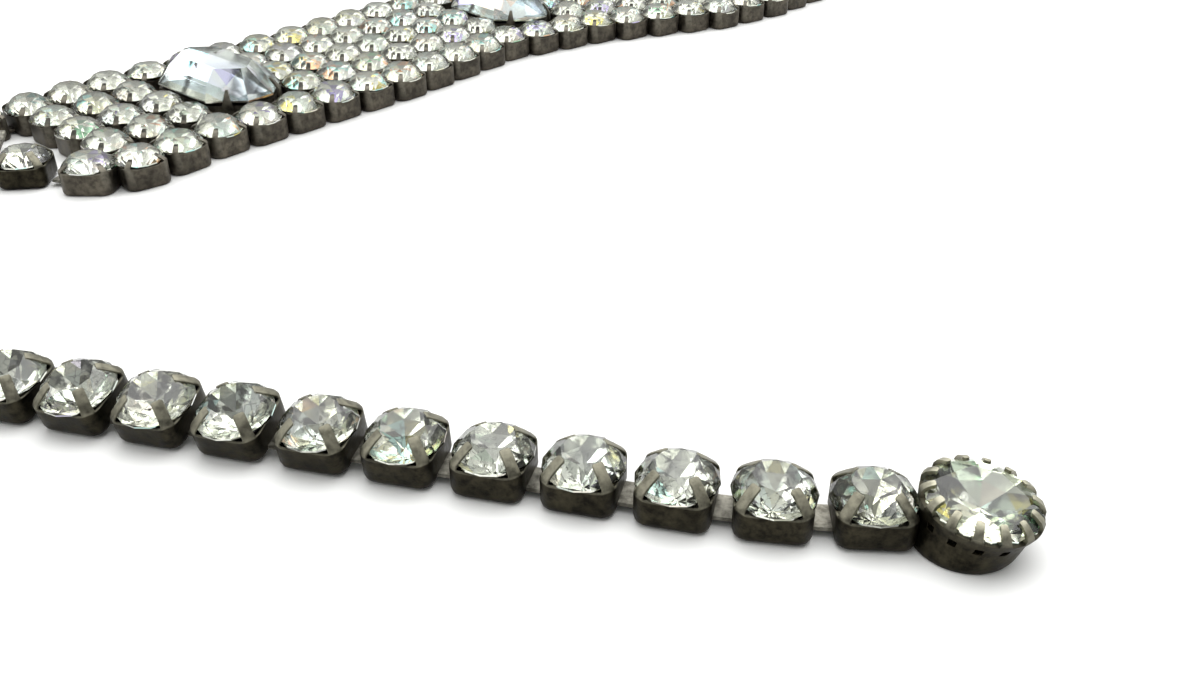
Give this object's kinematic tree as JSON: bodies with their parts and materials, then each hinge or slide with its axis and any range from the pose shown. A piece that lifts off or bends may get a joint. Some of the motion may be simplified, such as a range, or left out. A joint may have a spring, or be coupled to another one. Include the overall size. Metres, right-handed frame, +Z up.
{
  "type": "crystal choker",
  "caption": "Open choker of square cup-set crystals: a wide panel with octagon stones, a narrow chain at each end, a round end stone and a hook.",
  "frame": {"origin": "centre of the bounding box, on the surface that the choker lies on", "axes": "+Z up from the surface; the open tail runs towards +X along the -Y side, and the panel runs from -X towards +X and +Y"},
  "size_m": [0.1902, 0.187, 0.0065],
  "materials": {
    "antique_metal": "dark tarnished",
    "silver_metal": "worn silver",
    "crystal": "faceted, foil backed",
    "octagon_crystal": "step cut, foil backed"
  },
  "bodies": {
    "root": {"panel_near_edge": "antique_metal", "panel_row_1": "antique_metal", "panel_row_2": "antique_metal", "panel_row_3": "antique_metal", "panel_far_edge": "antique_metal", "octagon_setting_1": "antique_metal", "octagon_stone_1": "octagon_crystal", "octagon_setting_2": "antique_metal", "octagon_stone_2": "octagon_crystal", "octagon_setting_3": "antique_metal", "octagon_stone_3": "octagon_crystal", "tail_setting_00": "antique_metal", "tail_stone_00": "crystal", "tail_setting_01": "antique_metal", "tail_stone_01": "crystal", "tail_setting_02": "antique_metal", "tail_stone_02": "crystal", "tail_setting_03": "antique_metal", "tail_stone_03": "crystal", "tail_setting_04": "antique_metal", "tail_stone_04": "crystal", "tail_setting_05": "antique_metal", "tail_stone_05": "crystal", "tail_setting_06": "antique_metal", "tail_stone_06": "crystal", "tail_setting_07": "antique_metal", "tail_stone_07": "crystal", "tail_setting_08": "antique_metal", "tail_stone_08": "crystal", "tail_setting_09": "antique_metal", "tail_stone_09": "crystal", "tail_setting_10": "antique_metal", "tail_stone_10": "crystal", "tail_setting_11": "antique_metal", "tail_stone_11": "crystal", "tail_bend_chain": "antique_metal", "end_setting": "antique_metal", "end_stone": "crystal", "tail_link_00": "silver_metal", "tail_link_01": "silver_metal", "tail_link_02": "silver_metal", "tail_link_03": "silver_metal", "tail_link_04": "silver_metal", "tail_link_05": "silver_metal", "tail_link_06": "silver_metal", "tail_link_07": "silver_metal", "tail_link_08": "silver_metal", "tail_link_09": "silver_metal", "tail_link_10": "silver_metal", "tail_link_11": "silver_metal", "tail_link_12": "silver_metal", "tail_link_13": "silver_metal", "hook_chain": "antique_metal", "hook": "silver_metal", "yoke_tail": "silver_metal", "yoke_hook_near": "silver_metal", "yoke_hook_far": "silver_metal"}
  },
  "joints": []
}
